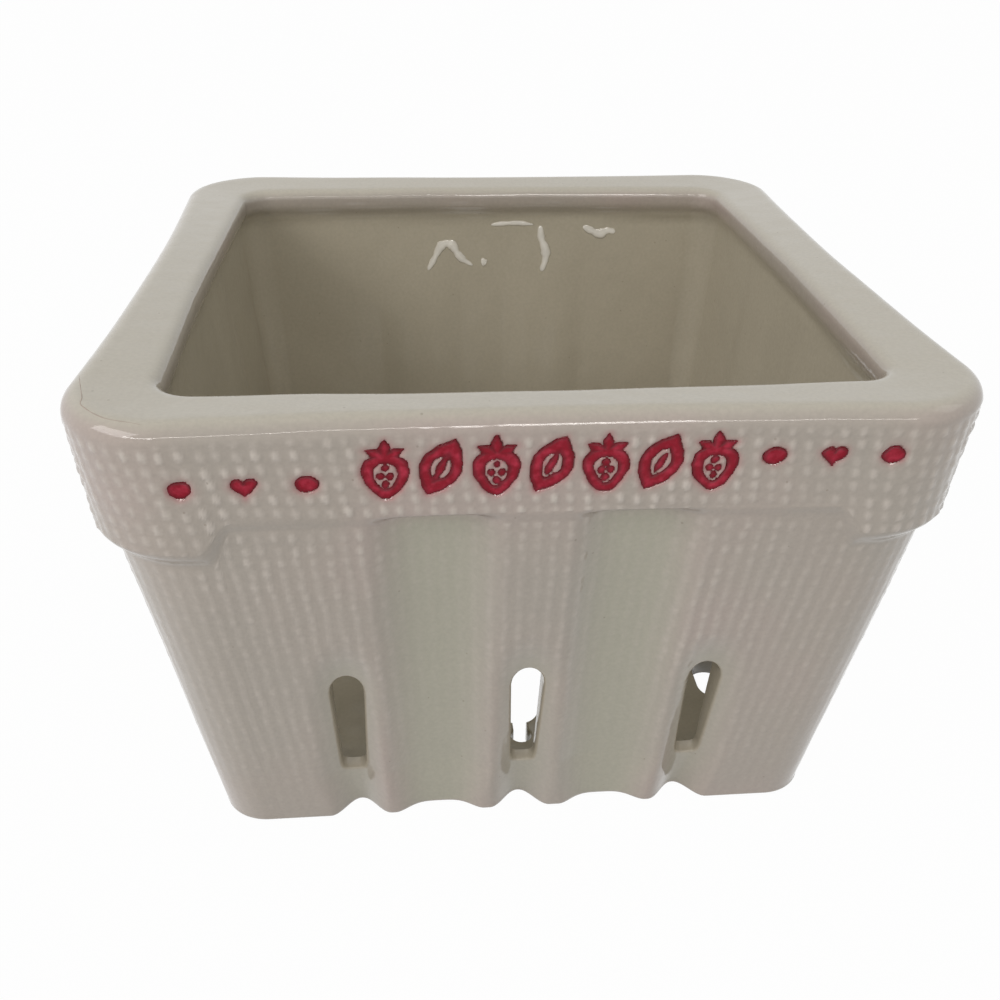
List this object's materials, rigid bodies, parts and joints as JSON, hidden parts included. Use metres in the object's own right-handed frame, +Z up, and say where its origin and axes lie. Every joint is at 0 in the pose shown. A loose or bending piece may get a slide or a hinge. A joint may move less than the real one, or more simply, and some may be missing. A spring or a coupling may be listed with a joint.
{
  "type": "berry colander bowl",
  "caption": "Square glazed stoneware berry basket with fluted slotted walls, a stepped band under a flat rim, drain holes in the floor and red pressed marks.",
  "frame": {"origin": "centre of the basket's footprint on the table", "axes": "+Z up through the open mouth, -Y towards the side with the red marks, +X to the right of that side"},
  "size_m": [0.14, 0.14, 0.09],
  "materials": {
    "glazed_stoneware": "glossy cream grey glaze",
    "red_underglaze": "glossy crimson glaze pooled in pressed marks"
  },
  "bodies": {
    "root": {"basket_body": "glazed_stoneware", "berry_glaze_1": "red_underglaze", "leaf_glaze_2": "red_underglaze", "berry_glaze_3": "red_underglaze", "leaf_glaze_4": "red_underglaze", "berry_glaze_5": "red_underglaze", "leaf_glaze_6": "red_underglaze", "berry_glaze_7": "red_underglaze", "dot_glaze_far_left": "red_underglaze", "heart_glaze_left": "red_underglaze", "dot_glaze_near_left": "red_underglaze", "dot_glaze_near_right": "red_underglaze", "heart_glaze_right": "red_underglaze", "dot_glaze_far_right": "red_underglaze"}
  },
  "joints": []
}
